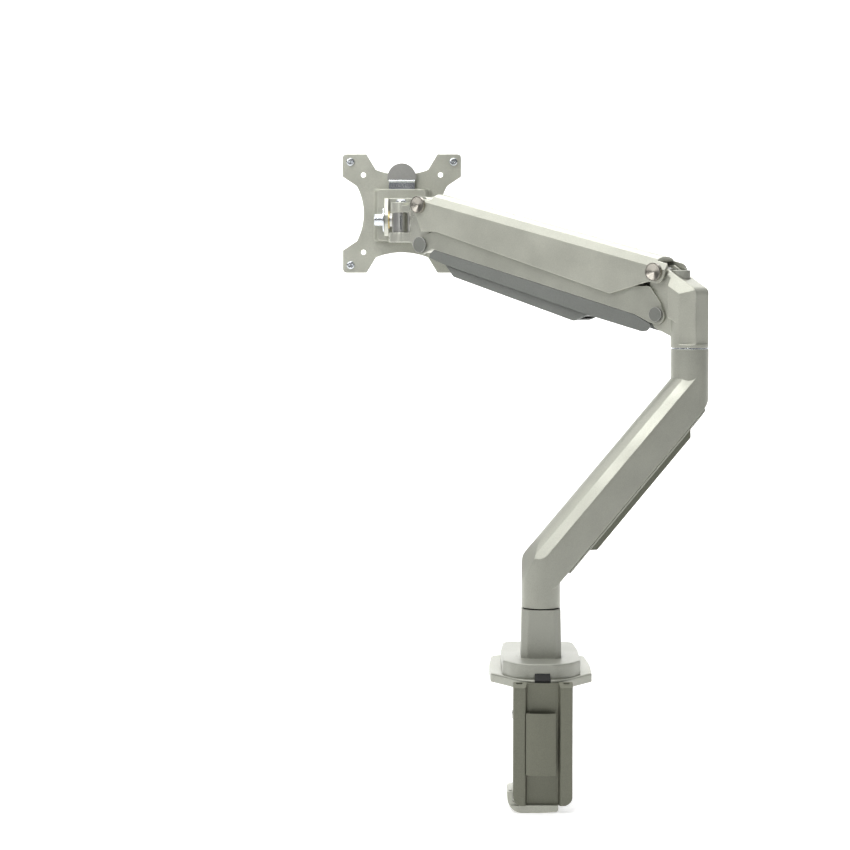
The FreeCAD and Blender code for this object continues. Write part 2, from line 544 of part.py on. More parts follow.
upper_hole = cross("head_upper_hole", "dims.pivot_r", 60.0, px, pz)
lower_hole = cross("head_lower_hole", "dims.pivot_r", 60.0, px, lz)
KNOB_X, KNOB_Z = 9.8, 345.0
knob_seat = rod("knob_seat", 3.05, 16.0, shift(KNOB_X, 0, 334))
knob_face = rod("knob_face", "dims.knob_r + 0.6", 20.0, shift(KNOB_X, 0, KNOB_Z))
node(cut("head_done", head_bottom, fork_room, elbow_hole, upper_hole, lower_hole, knob_seat, knob_face),
     "elbow_head", HEAD)
knob_disc = rod("knob_disc", "dims.knob_r", 7.6, shift(KNOB_X, 0, KNOB_Z + 0.3))
knob_soft = dress("Fillet", "knob_soft", knob_disc, 0.8, level(KNOB_Z + 7.9))
node(fuse("knob_done", knob_soft, rod("knob_stem", 3.0, 9.6, shift(KNOB_X, 0, KNOB_Z - 9.2))),
     "elbow_knob", HEAD)

SHELL_HALF = size("shell_wide") / 2
UPPER_SPAN = size("shell_wide")
LOWER_SPAN = size("link_wide")


def caps(label, radius, start, thick, x, z, frame, cup):
    """A pair of caps, one on each side; cup is the depth of the machined cone."""
    made = []
    for side in (1, -1):
        turn = spin(Vector(1, 0, 0), -90 * side)
        at = shift(x, side * start, z).multiply(turn)
        disc = rod("%s_disc%d" % (label, side), radius, thick, at)
        if cup > 0:
            hollow = cone("%s_cup%d" % (label, side), 0.6, radius - 0.9, cup,
                          at.multiply(shift(0, 0, thick - cup)))
            disc = cut("%s_cone%d" % (label, side), disc, hollow)
        made.append(disc)
    return node(fuse(label + "_pair", *made), label, frame)


node(cross("rear_upper_raw", "dims.pivot_r", UPPER_SPAN + 0.4, px, pz), "rear_upper_pin", HEAD)
node(cross("rear_lower_raw", "dims.pivot_r", LOWER_SPAN + 0.4, px, lz), "rear_lower_pin", HEAD)
CAP_GAP = 0.2
caps("rear_upper_caps", 7.9, SHELL_HALF + CAP_GAP, 3.4, px, pz, HEAD, 2.4)
caps("rear_lower_caps", 6.4, LOWER_SPAN / 2 + CAP_GAP, 2.2, px, lz, HEAD, 0.0)

spring_z = pz - size("spring_drop")
TENSION_X = 14.4
tension_raw = rod("tension_raw", 1.6, 20.0, shift(TENSION_X, 0, spring_z - 12))
slider = block("slider_block", 13.0, 30.5, -7.3, 7.3, spring_z - 5.5, spring_z + 5.5)
slider_cut = cut("slider_cut", slider, rod("slider_thread", 1.65, 40.0, shift(TENSION_X, 0, spring_z - 20)),
                 block("slider_fork", 16.3, 40, -4.6, 4.6, spring_z - 10, spring_z + 10),
                 cross("slider_pin_hole", 2.5, 40.0, px, spring_z))
node(slider_cut, "tension_slider", HEAD)
node(tension_raw, "tension_screw", HEAD)
node(cross("tension_pin_raw", 2.5, 14.6, px, spring_z), "tension_pin", HEAD)

# ---------------------------------------------------------------- upper arm (frame ARM, from its rear pivot)
long = size("arm_long")
shell_top = 13.0
shell_side = [(4.0, -9.8, 3), (12.5, -14.0, 4), (42.3, -29.9, 3), (247.0, -20.2, 8), (264.5, -23.6, 2),
              (275.5, -8.5, 4), (284.0, 4.0, 9), (270.0, shell_top - 0.5, 10), (150.0, shell_top + 0.8, 500),
              (-9.6, shell_top - 0.5, 9), (-9.6, -9.4, 8)]
shell_raw = slab("shell_raw", rounded(shell_side), "dims.shell_wide", "XZ_Plane", middle=True)


shell_section = moved(crowned("shell_section", SHELL_HALF, -90, 4.0, 12.0, 2.6, shell_top), shift(-200))
shell_soft = common("shell_soft", shell_raw, shell_section)
wall = size("shell_wall")
hollow_side = [(-30, -60), (330, -60), (330, 20), (262, 20), (262, shell_top - 5.0), (-30, shell_top - 5.0)]
hollow_wide = slab("hollow_wide", rounded([(-30, -60), (330, -60), (330, 4.5), (-30, 4.5)]),
                   "dims.shell_wide - 2 * dims.shell_wall", "XZ_Plane", middle=True)
hollow_narrow = slab("hollow_narrow", rounded(hollow_side), "dims.shell_wide - 2 * dims.shell_wall - 10",
                     "XZ_Plane", middle=True)
shell_room = fuse("shell_room", hollow_wide, hollow_narrow)
gas_v = -size("gas_line")
GAS_FRONT = 234.0
end_clear = [block("front_ear_room", 262, 330, -SHELL_HALF + wall, SHELL_HALF - wall, -60, 40),
             block("rear_ear_room", -40, 9.5, -wide - 0.4, wide + 0.4, -60, EAR_R + 0.4),
             block("rear_roof_gap", -40, 3.0, -wide - 0.4, wide + 0.4, -60, 40)]
lugs = [block("gas_lug%d" % side, GAS_FRONT - 8, GAS_FRONT + 8, min(side * 6.5, side * 12.2),
              max(side * 6.5, side * 12.2), gas_v - 6.5, shell_top - 4.0) for side in (-1, 1)]
shell_holes = [cross("shell_rear_hole", "dims.pivot_r + dims.pivot_play", 60.0, 0, 0),
               cross("shell_front_hole", "dims.pivot_r + dims.pivot_play", 60.0, long, 0),
               cross("shell_gas_hole", 3.5, 30.0, GAS_FRONT, gas_v)]
shell_open = cut("shell_open", shell_soft, shell_room, *end_clear)
node(cut("shell_done", fuse("shell_lugged", shell_open, *lugs), *shell_holes), "upper_shell", ARM)

GAS_START, GAS_STOP = 66.0, 218.0
gas_body = rod("gas_body", "dims.gas_r", GAS_STOP - GAS_START, shift(GAS_START, 0, gas_v).multiply(ALONG_X))
gas_soft = dress("Fillet", "gas_soft", gas_body, 2.0,
                 lambda edge: edge.Length < 70 and len(edge.Vertexes) == 1)
gas_neck = rod("gas_neck", 4.5, 8.0, shift(GAS_STOP - 0.5, 0, gas_v).multiply(ALONG_X))
gas_eye = block("gas_eye", GAS_STOP + 6, GAS_FRONT + 7, -5, 5, gas_v - 7, gas_v + 7)
gas_sum = fuse("gas_sum", gas_soft, gas_neck, gas_eye)
gas_bore = rod("gas_bore", "dims.rod_r + 0.05", 110.0, shift(GAS_START - 2, 0, gas_v).multiply(ALONG_X))
node(cut("gas_done", gas_sum, gas_bore, cross("gas_pin_hole", 3.5, 30.0, GAS_FRONT, gas_v)),
     "gas_cylinder", ARM)
node(cross("gas_pin_raw", 3.5, 24.4, GAS_FRONT, gas_v), "gas_pin", ARM)

pin_u = -size("spring_drop") * math.sin(lift)
rod_start = pin_u + 9.0
rod_raw = rod("rod_raw", "dims.rod_r", 140 - rod_start, shift(rod_start, 0, gas_v).multiply(ALONG_X))
EYE_R, SLOT_R = 6.7, 3.1
eye_neck = rod("eye_neck", 5.4, 18.0, shift(pin_u, 0, gas_v).multiply(ALONG_X))
eye_sides = block("eye_sides", pin_u, pin_u + 20, -4, 4, gas_v - 8, gas_v + 8)
eye_raw = fuse("eye_raw", cross("eye_round", EYE_R, 8.0, pin_u, gas_v),
               common("eye_trim", eye_neck, eye_sides))
slot_high = 2.3
eye_slot = fuse("eye_slot", cross("slot_top", SLOT_R, 20.0, pin_u, gas_v + slot_high),
                cross("slot_low", SLOT_R, 20.0, pin_u, gas_v - slot_high),
                block("slot_mid", pin_u - SLOT_R, pin_u + SLOT_R, -10, 10,
                      gas_v - slot_high, gas_v + slot_high))
node(rod_raw, "gas_rod", ARM)
eye_socket = rod("eye_socket", "dims.rod_r", 40.0, shift(rod_start, 0, gas_v).multiply(ALONG_X))
node(cut("eye_done", eye_raw, eye_slot, eye_socket), "gas_rod_eye", ARM)

# lower link, drawn in the same frame; its own pivots are low_u, low_v and low_u + long, low_v
link_side = [(low_u - 6, low_v - 9, 7), (low_u + 7, low_v - 8.2, 5), (14, -41.8, 4), (250, -37.4),
             (low_u + long - 4, low_v - 8.5, 5), (low_u + long + 5, low_v - 8.5, 5),
             (low_u + long + 8.5, low_v, 7), (low_u + long - 2, low_v + 9, 7), (244, -14.5, 6),
             (42, -24.5, 6),
             (19.6, -17.6, 6), (4.0, -13.9, 5), (-9.5, -25.0, 6), (low_u - 9, low_v, 6)]
link_raw = slab("link_raw", rounded(link_side), "dims.link_wide", "XZ_Plane", middle=True)
link_inner = LOWER_SPAN / 2 - size("link_wall")
link_room = block("link_room", -40, 330, -link_inner, link_inner, -35.0, 20)
link_ends = [block("link_rear_room", -60, 24, -link_inner, link_inner, -80, 20),
             block("link_front_room", 238, 330, -link_inner, link_inner, -80, 20)]
OPEN_PLAY = 0.4
link_holes = [cross("link_rear_hole", "dims.pivot_r + dims.pivot_play", 60.0, low_u, low_v),
              cross("link_front_hole", size("pivot_r") + OPEN_PLAY, 60.0, low_u + long, low_v)]
node(cut("link_done", link_raw, link_room, *(link_ends + link_holes)), "lower_link", ARM)

under_side = [(-5.0, -46.6, 1.5), (-1.5, -53.4, 3), (3.4, -55.0, 3), (63.6, -54.6), (230.5, -48.6),
              (252.0, -46.2, 2), (252.0, -42.5), (248, -37.8), (15, -42.2), (0, -45.6)]
under_raw = slab("under_raw", rounded(under_side), "dims.link_wide - 0.6", "XZ_Plane", middle=True)
under_ears = block("under_ears", -60, 24, -link_inner, link_inner, -80, 20)
under_room = slab("under_room", rounded([(30, -52.4), (63, -52.4), (226, -46.9), (226, -36), (30, -36)]),
                  "dims.link_wide - 5", "XZ_Plane", middle=True)
node(cut("under_done", under_raw, under_ears, under_room), "link_cover", ARM)

duct2_side = [(64.0, -54.8), (79.0, -64.4, 4), (222.3, -57.6, 3), (233.3, -49.4)]
duct2_raw = slab("duct2_raw", rounded(duct2_side), "dims.duct_wide", "XZ_Plane", middle=True)
duct2_gap = slab("duct2_gap", rounded([(50, -60.2), (76, -61.6), (240, -54.0), (240, -50.5), (76, -58.0),
                                       (50, -56.6)]), "dims.duct_wide - 4", "XZ_Plane", middle=True)
duct2_top = slab("duct2_top", rounded([(50, -54.2), (63.6, -54.6), (240, -48.2), (240, -40), (50, -40)]),
                 60.0, "XZ_Plane", middle=True)
node(cut("duct2_done", duct2_raw, duct2_gap, duct2_top), "upper_cable_duct", ARM)

# ---------------------------------------------------------------- front head (frame FRONT, level)
out = size("pan_reach")
fz = front_z
gz = front_z - size("link_drop")
ring_low_z, ring_low_high = gz + 2.6, 9.0
ring_top_z, ring_top_high = gz + 31.0, 9.5
head2_side = [(-7.5, gz - 7.5, 7), (8.5, gz - 7.5, 7), (14.5, gz + 3, 4), (15.5, fz - 2, 4), (9, fz + 7.8, 7),
              (-7.5, fz + 7.8, 7)]
head2_raw = slab("head2_raw", rounded(head2_side), "dims.head_wide", "XZ_Plane", middle=True)
low_ring = rod("low_ring", "dims.ring_low_r", ring_low_high, shift(out, 0, ring_low_z))
LOW_BRIDGE, TOP_BRIDGE = 8.0, 7.0
low_bridge = block("low_bridge", 8, out, -LOW_BRIDGE, LOW_BRIDGE, ring_low_z,
                   ring_low_z + ring_low_high)
top_ring = rod("top_ring", "dims.ring_high_r", ring_top_high, shift(out, 0, ring_top_z))
top_bridge = block("top_bridge", 8, out, -TOP_BRIDGE, TOP_BRIDGE, ring_top_z,
                   ring_top_z + ring_top_high - 3)
head2_sum = fuse("head2_sum", head2_raw, low_ring, low_bridge, top_ring, top_bridge)
node(cut("head2_done", head2_sum, rod("pan_bore", "dims.pan_r", 80.0, shift(out, 0, gz - 20)),
         cross("head2_upper_hole", "dims.pivot_r", 60.0, 0, fz),
         cross("head2_lower_hole", "dims.pivot_r", 60.0, 0, gz)), "front_head", FRONT)
node(cross("front_upper_raw", "dims.pivot_r", UPPER_SPAN + 0.4, 0, fz), "front_upper_pin", FRONT)
node(cross("front_lower_raw", "dims.pivot_r", LOWER_SPAN + 0.4, 0, gz), "front_lower_pin", FRONT)
caps("front_upper_caps", 7.9, SHELL_HALF + CAP_GAP, 3.2, 0, fz, FRONT, 2.2)
caps("front_lower_caps", 7.4, LOWER_SPAN / 2 + CAP_GAP, 2.4, 0, gz, FRONT, 0.0)

pan_top = ring_top_z + ring_top_high
pan_shaft = rod("pan_shaft", "dims.pan_r", pan_top - ring_low_z, shift(out, 0, ring_low_z))
pan_dome = dress("Fillet", "pan_dome", rod("pan_head", 5.2, 2.9, shift(out, 0, pan_top)), 2.2,
                 level(pan_top + 2.9))
node(fuse("pan_done", pan_shaft, pan_dome), "pan_bolt", FRONT)
gap_low, gap_high = ring_low_z + ring_low_high, ring_top_z
node(fuse("pan_washer_pair",
          ring("pan_washer_low", 7.6, "dims.pan_r", 0.8, shift(out, 0, gap_low)),
          ring("pan_washer_top", 7.6, "dims.pan_r", 0.8, shift(out, 0, gap_high - 0.8))),
     "pan_washers", FRONT)

# ---------------------------------------------------------------- knuckle and tilt (frame PLATE)
ty, tz = size("tilt_out"), size("tilt_z")
ear = size("ear_gap") / 2
barrel_z0, barrel_z1 = gap_low + 0.85, gap_high - 0.85
barrel = rod("barrel", "dims.barrel_r", barrel_z1 - barrel_z0, shift(0, 0, barrel_z0))
tilt_barrel = rod("tilt_barrel", 6.6, 2 * ear - 2.4, shift(-ear + 1.2, ty, tz).multiply(ALONG_X))
bridge = block("knuckle_bridge", -7.5, 7.5, 0, ty, tz - 5.5, barrel_z1)
knuckle_sum = fuse("knuckle_sum", barrel, tilt_barrel, bridge)
node(cut("knuckle_done", knuckle_sum, rod("knuckle_pan_hole", "dims.pan_r + 0.05", 60.0, shift(0, 0, 370)),
         rod("knuckle_tilt_hole", "dims.tilt_r", 60.0, shift(-30, ty, tz).multiply(ALONG_X)),
         block("knuckle_slit", -0.6, 0.6, -20, -3, barrel_z0 + 2, barrel_z1 - 2)),
     "knuckle", PLATE)
EAR_THICK = 4.0
BOLT_HEAD = 8.2
bolt_x0 = -ear - EAR_THICK - 1.4
bolt_head = rod("tilt_head", 5.9, BOLT_HEAD, shift(bolt_x0 - BOLT_HEAD, ty, tz).multiply(ALONG_X))
bolt_shaft = rod("tilt_shaft", "dims.tilt_r", 2 * (ear + EAR_THICK) + 3,
                 shift(bolt_x0 - 1, ty, tz).multiply(ALONG_X))
bolt_hex = slab("bolt_hex", rounded(hex_points), 5.0)
bolt_hex.Placement = shift(bolt_x0 - BOLT_HEAD - 0.5, ty, tz).multiply(ALONG_X)
head_soft = dress("Fillet", "tilt_head_soft", bolt_head, 0.8, lambda edge: len(edge.Vertexes) == 1 and
                  abs(edge.Vertexes[0].Point.x - (bolt_x0 - BOLT_HEAD)) < 0.05)
node(cut("tilt_bolt_done", fuse("tilt_bolt_sum", head_soft, bolt_shaft), bolt_hex), "tilt_bolt", PLATE)
node(ring("tilt_disc_raw", 11.8, "dims.tilt_r + 0.05", 1.1, shift(-ear - EAR_THICK - 1.25, ty, tz)
          .multiply(ALONG_X)), "tilt_spring_disc", PLATE)
node(fuse("tilt_brass_pair",
          ring("tilt_brass_a", 8.6, "dims.tilt_r", 1.0, shift(-ear + 0.1, ty, tz).multiply(ALONG_X)),
          ring("tilt_brass_b", 8.6, "dims.tilt_r", 1.0, shift(ear - 1.1, ty, tz).multiply(ALONG_X))),
     "tilt_washers", PLATE)
nut_x = ear + EAR_THICK + 0.15
nut_raw = slab("nut_raw", rounded([(p[0] * 1.9, p[1] * 1.9, 0.5) for p in hex_points]), 5.0)
nut_raw.Placement = shift(nut_x, ty, tz).multiply(ALONG_X)
nut_hole = rod("nut_hole", "dims.tilt_r", 30.0, shift(nut_x - 5, ty, tz).multiply(ALONG_X))
node(cut("nut_done", nut_raw, nut_hole), "tilt_nut", PLATE)

FRAME_Y, FRAME_BACK = 22.0, 26.0
frame_low, frame_high = tz - 15.5, tz + 21.0
frame_plate = block("frame_plate", -ear - EAR_THICK, ear + EAR_THICK, FRAME_Y, FRAME_BACK,
                    frame_low, frame_high)
ears = []
for i, side in enumerate((-1, 1)):
    ear_side = [(FRAME_BACK, frame_low), (FRAME_BACK, frame_high), (ty + 3, frame_high, 2),
                (ty - 7.5, tz + 5, 7), (ty - 7.5, tz - 5, 7), (ty + 1, frame_low, 3)]
    ear_body = slab("ear%d" % i, rounded(ear_side), EAR_THICK, "YZ_Plane")
    moved(ear_body, shift(ear if side > 0 else -ear - EAR_THICK, 0, 0))
    ears.append(ear_body)
frame_sum = fuse("frame_sum", frame_plate, *ears)
rivet_z = size("vesa_z") - 1.5
node(cut("frame_done", frame_sum, rod("frame_tilt_hole", "dims.tilt_r + 0.05", 80.0, shift(-40, ty, tz)
                                      .multiply(ALONG_X)),
         rod("frame_recess_a", 9.1, 1.3, shift(-ear, ty, tz).multiply(ALONG_X)),
         rod("frame_recess_b", 9.1, 1.3, shift(ear - 1.3, ty, tz).multiply(ALONG_X)),
         rod("frame_rivet_hole", "dims.rivet_r", 20.0, shift(0, FRAME_Y - 5, rivet_z).multiply(ALONG_Y))),
     "tilt_bracket", PLATE)
ADAPT_Y, ADAPT_STEP, ADAPT_END = 26.6, 35.6, 39.6
rivet_shaft = rod("rivet_shaft", "dims.rivet_r", ADAPT_END - 2.2 - FRAME_Y,
                  shift(0, FRAME_Y, rivet_z).multiply(ALONG_Y))
rivet_head = rod("rivet_head", 8.5, 1.4, shift(0, ADAPT_END - 2.6, rivet_z).multiply(ALONG_Y))
node(fuse("rivet_done", rivet_shaft, rivet_head), "rotation_rivet", PLATE)
node(ring("rivet_washer", 12.0, "dims.rivet_r", 0.5, shift(0, FRAME_BACK, rivet_z).multiply(ALONG_Y)),
     "rotation_washer", PLATE)

# adapter block: drafted front, square rear flange
adapt_low, adapt_high = rivet_z - 25.5, rivet_z + 25.5
adapt = doc.addObject("PartDesign::Body", "adapter_body")
front_sketch = adapt.newObject("Sketcher::SketchObject", "adapter_front")
rear_sketch = adapt.newObject("Sketcher::SketchObject", "adapter_rear")
for sketch, wide_by, high_by, offset in ((front_sketch, 23.4, 24.6, 0.0),
                                         (rear_sketch, 26.4, 25.4, ADAPT_STEP - ADAPT_Y)):
    sketch.AttachmentSupport = [(base_plane(adapt, "XY_Plane"), "")]
    sketch.MapMode = "FlatFace"
    sketch.AttachmentOffset = shift(0, 0, offset)
    sketch.addGeometry(rounded([(-wide_by, -high_by, 3.5), (wide_by, -high_by, 3.5), (wide_by, high_by, 3.5),
                                (-wide_by, high_by, 3.5)]), False)
adapt_loft = adapt.newObject("PartDesign::AdditiveLoft", "adapter_loft")
adapt_loft.Profile = front_sketch
adapt_loft.Sections = [rear_sketch]
adapt_loft.Ruled = True
adapt.Tip = adapt_loft
adapt.Placement = shift(0, ADAPT_Y, rivet_z).multiply(spin(Vector(1, 0, 0), -90))
FLANGE_HALF = 27.5
rear_flange = slab("adapter_flange", rounded([(-FLANGE_HALF, adapt_low, 3), (FLANGE_HALF, adapt_low, 3),
                                              (FLANGE_HALF, adapt_high, 2), (-FLANGE_HALF, adapt_high, 2)]),
                   ADAPT_END - ADAPT_STEP, "XZ_Plane", middle=True)
moved(rear_flange, shift(0, (ADAPT_STEP + ADAPT_END) / 2, 0))
adapt_hole = rod("adapter_hole", "dims.rivet_r + 0.05", 20.0,
                 shift(0, ADAPT_Y - 3, rivet_z).multiply(ALONG_Y))
adapt_pocket = rod("adapter_pocket", 9.0, 6.0, shift(0, ADAPT_END - 2.8, rivet_z).multiply(ALONG_Y))
latch_room = block("latch_room", -13.2, 13.2, 33.0, 37.2, adapt_high - 8.0, adapt_high + 5)
node(cut("adapter_done", fuse("adapter_sum", adapt, rear_flange), adapt_hole, adapt_pocket, latch_room),
     "adapter_block", PLATE)

# quick-release latch: sprung strip and finger tab
STRIP_LOW, STRIP_HIGH, TAB_R = adapt_high - 7.0, adapt_high + 9.0, 14.0
strip_flat = block("strip_flat", -12.6, 12.6, 34.0, 35.4, STRIP_LOW, STRIP_HIGH - 1)
strip_fold = rod("strip_fold", 1.5, 25.2, shift(-12.6, 34.3, STRIP_HIGH - 1.5).multiply(ALONG_X))
node(fuse("strip_done", strip_flat, strip_fold), "latch_strip", PLATE)
tab_z = adapt_high + 10.6
tab_outline = [Part.Arc(Vector(-TAB_R, tab_z, 0), Vector(0, tab_z + TAB_R, 0), Vector(TAB_R, tab_z, 0)),
               Part.LineSegment(Vector(TAB_R, tab_z, 0), Vector(TAB_R, adapt_high + 8.6, 0)),
               Part.LineSegment(Vector(TAB_R, adapt_high + 8.6, 0), Vector(-TAB_R, adapt_high + 8.6, 0)),
               Part.LineSegment(Vector(-TAB_R, adapt_high + 8.6, 0), Vector(-TAB_R, tab_z, 0))]
tab_raw = slab("tab_raw", tab_outline, 2.6, "XZ_Plane", middle=True)
moved(tab_raw, shift(0, 33.9, 0))
node(cut("tab_done", tab_raw, block("tab_slot", -12.7, 12.7, 34.0, 40, adapt_high, STRIP_HIGH - 1),
         rod("tab_fold_slot", 1.5, 25.4, shift(-12.7, 34.3, STRIP_HIGH - 1.5).multiply(ALONG_X))),
     "latch_tab", PLATE)

# ---------------------------------------------------------------- VESA plate
vz = size("vesa_z")
V_EDGE, V_SIDE, V_NECK_X, V_NECK_Y = 57.6, 35.7, 44.0, 26.6
V_TOP, V_ROOT_X, V_ROOT_Y, V_MID, V_WAIST = 34.5, 25.4, 42.6, 37.8, 37.2


def lobe_path():
    """Four lobes joined by concave arcs, drawn about the centre."""
    shapes = []

    def line(a, b):
        shapes.append(Part.LineSegment(Vector(a[0], a[1], 0), Vector(b[0], b[1], 0)))

    def bow(a, m, b):
        shapes.append(Part.Arc(Vector(a[0], a[1], 0), Vector(m[0], m[1], 0), Vector(b[0], b[1], 0)))

    soft = 3.6
    bend = soft * (1 - math.sqrt(0.5))
    for sx, sy in ((1, 1), (1, -1), (-1, -1), (-1, 1)):
        line((sx * V_ROOT_X, sy * V_ROOT_Y), (sx * V_TOP, sy * V_EDGE))
        line((sx * V_TOP, sy * V_EDGE), (sx * (V_EDGE - soft), sy * V_EDGE))
        bow((sx * (V_EDGE - soft), sy * V_EDGE), (sx * (V_EDGE - bend), sy * (V_EDGE - bend)),
            (sx * V_EDGE, sy * (V_EDGE - soft)))
        line((sx * V_EDGE, sy * (V_EDGE - soft)), (sx * V_EDGE, sy * V_SIDE))
        line((sx * V_EDGE, sy * V_SIDE), (sx * V_NECK_X, sy * V_NECK_Y))
    bow((V_NECK_X, V_NECK_Y), (V_WAIST, 0), (V_NECK_X, -V_NECK_Y))
    bow((-V_NECK_X, V_NECK_Y), (-V_WAIST, 0), (-V_NECK_X, -V_NECK_Y))
    bow((V_ROOT_X, V_ROOT_Y), (0, V_MID), (-V_ROOT_X, V_ROOT_Y))
    bow((V_ROOT_X, -V_ROOT_Y), (0, -V_MID), (-V_ROOT_X, -V_ROOT_Y))
    ordered = Part.__sortEdges__([s.toShape() for s in shapes])
    return [edge_geometry(edge) for edge in ordered]


def edge_geometry(edge):
    ends = [edge.valueAt(edge.FirstParameter), edge.valueAt(edge.LastParameter)]
    if edge.Curve.TypeId == "Part::GeomLine":
        return Part.LineSegment(ends[0], ends[1])
    middle = edge.valueAt((edge.FirstParameter + edge.LastParameter) / 2)
    return Part.Arc(ends[0], middle, ends[1])


VESA_Y = ADAPT_END + 0.1
vesa_raw = slab("vesa_raw", lobe_path(), "dims.vesa_thick", "XZ_Plane", middle=True)
vesa_holes = []
moved(vesa_raw, shift(0, VESA_Y + size("vesa_thick") / 2, vz))
studs = []
STUD_HOLE, STUD_R, STUD_OUT = 2.2, 2.0, 9.0
CROWN_R, CROWN_HIGH, CROSS_LONG, CROSS_HALF = 4.0, 2.6, 2.1, 0.45
crown_y = VESA_Y - CROWN_HIGH - 0.1


def crown_rim(edge):
    return len(edge.Vertexes) == 1 and abs(edge.Vertexes[0].Point.y - crown_y) < 0.05


def cross_bar(name, x, z, half_x, half_z):
    return block(name, x - half_x, x + half_x, crown_y - 0.3, crown_y + 1.2, z - half_z, z + half_z)


hole_sets = (("large", "vesa_large", STUD_HOLE), ("small", "vesa_small", size("vesa_hole_r")))
for pattern, alias, radius in hole_sets:
    spread = size(alias) / 2
    for i, (sx, sz) in enumerate(((1, 1), (1, -1), (-1, -1), (-1, 1))):
        x, z = sx * spread, vz + sz * spread
        vesa_holes.append(rod("vesa_%s_hole%d" % (pattern, i), radius, 20.0,
                              shift(x, VESA_Y - 5, z).multiply(ALONG_Y)))
        if pattern == "small":
            continue
        at = shift(x, VESA_Y, z).multiply(ALONG_Y)
        shank = fuse("vesa_shank%d" % i, rod("vesa_neck%d" % i, STUD_HOLE, "dims.vesa_thick", at),
                     rod("vesa_stud%d" % i, STUD_R, size("vesa_thick") + STUD_OUT, at))
        crown = rod("vesa_crown%d" % i, CROWN_R, CROWN_HIGH, shift(x, crown_y, z).multiply(ALONG_Y))
        dome = dress("Fillet", "vesa_dome%d" % i, crown, 1.3, crown_rim)
        root = rod("vesa_root%d" % i, STUD_HOLE, 1.0, shift(x, VESA_Y - 0.6, z).multiply(ALONG_Y))
        studs.append(cut("vesa_screw%d" % i, fuse("vesa_screw_sum%d" % i, shank, dome, root),
                         cross_bar("vesa_bar_a%d" % i, x, z, CROSS_LONG, CROSS_HALF),
                         cross_bar("vesa_bar_b%d" % i, x, z, CROSS_HALF, CROSS_LONG)))
node(cut("vesa_done", vesa_raw, *vesa_holes), "vesa_plate", PLATE)
node(fuse("vesa_screw_set", *studs), "vesa_screws", PLATE)

# ---------------------------------------------------------------- output
doc.recompute()
problems = []
for obj in doc.Objects:
    if "Invalid" in obj.State or "Error" in obj.State:
        problems.append("%s %s" % (obj.Name, obj.State))
os.makedirs("parts", exist_ok=True)
for obj in NODES:
    shape = obj.Shape
    if shape.isNull() or not shape.isValid() or not shape.Solids:
        problems.append("bad shape %s" % obj.Label)
        continue
    shape.exportStep("parts/%s.step" % obj.Label)
    print("%-20s solids %d volume %.0f" % (obj.Label, len(shape.Solids), shape.Volume))
if problems:
    raise RuntimeError("; ".join(problems))
print("nodes", len(NODES))
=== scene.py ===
import json
import math

import bpy
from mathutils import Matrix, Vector


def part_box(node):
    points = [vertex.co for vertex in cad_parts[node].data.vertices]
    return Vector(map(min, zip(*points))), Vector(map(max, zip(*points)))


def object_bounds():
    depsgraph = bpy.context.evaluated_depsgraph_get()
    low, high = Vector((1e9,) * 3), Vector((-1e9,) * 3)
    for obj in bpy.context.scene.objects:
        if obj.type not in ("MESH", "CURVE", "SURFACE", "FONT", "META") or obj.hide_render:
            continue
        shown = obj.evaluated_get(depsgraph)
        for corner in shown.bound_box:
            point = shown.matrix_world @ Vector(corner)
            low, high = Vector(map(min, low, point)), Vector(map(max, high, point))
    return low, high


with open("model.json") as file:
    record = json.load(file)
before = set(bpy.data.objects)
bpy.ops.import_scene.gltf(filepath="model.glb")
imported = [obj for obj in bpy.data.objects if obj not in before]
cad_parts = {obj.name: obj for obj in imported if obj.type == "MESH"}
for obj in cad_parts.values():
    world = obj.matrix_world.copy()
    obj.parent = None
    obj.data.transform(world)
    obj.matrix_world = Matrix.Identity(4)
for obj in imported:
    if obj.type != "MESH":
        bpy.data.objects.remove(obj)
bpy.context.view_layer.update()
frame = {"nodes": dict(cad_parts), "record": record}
nodes = frame["nodes"]
scene = bpy.context.scene


# ------------------------------------------------------------------ shader helpers
BEVEL_SAMPLES = 6
GRAIN_DEPTH = 0.0004
BLOTCH_SCALE = 35.0
ROUGH_VARY = 0.06
COAT_ROUGHNESS = 0.2
# Edges are painted lighter as a highlight: the mask bounds, and how much lighter the edge colour is.
HIGHLIGHT_BELOW, FLAT_ABOVE = 0.80, 0.985
HIGHLIGHT_LIGHTER = 1.5


def noise(tree, coords, scale, detail, rough):
    node = tree.nodes.new("ShaderNodeTexNoise")
    node.inputs["Scale"].default_value = scale
    node.inputs["Detail"].default_value = detail
    node.inputs["Roughness"].default_value = rough
    tree.links.new(coords, node.inputs["Vector"])
    return node.outputs["Fac"]


def spread(tree, value, low, high, start=0.3, stop=0.7):
    """Maps a value between start and stop onto low to high."""
    node = tree.nodes.new("ShaderNodeMapRange")
    node.inputs["From Min"].default_value = start
    node.inputs["From Max"].default_value = stop
    node.inputs["To Min"].default_value = low
    node.inputs["To Max"].default_value = high
    tree.links.new(value, node.inputs["Value"])
    return node.outputs["Result"]


def scaled(tree, value, factor):
    node = tree.nodes.new("ShaderNodeMath")
    node.operation = "MULTIPLY"
    node.inputs[1].default_value = factor
    tree.links.new(value, node.inputs[0])
    return node.outputs["Value"]


def added(tree, first, second):
    node = tree.nodes.new("ShaderNodeMath")
    node.operation = "ADD"
    tree.links.new(first, node.inputs[0])
    tree.links.new(second, node.inputs[1])
    return node.outputs["Value"]


def soft_normal(tree, radius):
    """The surface normal with sharp edges rounded to a radius."""
    bevel = tree.nodes.new("ShaderNodeBevel")
    bevel.samples = BEVEL_SAMPLES
    bevel.inputs["Radius"].default_value = radius
    return bevel.outputs["Normal"]


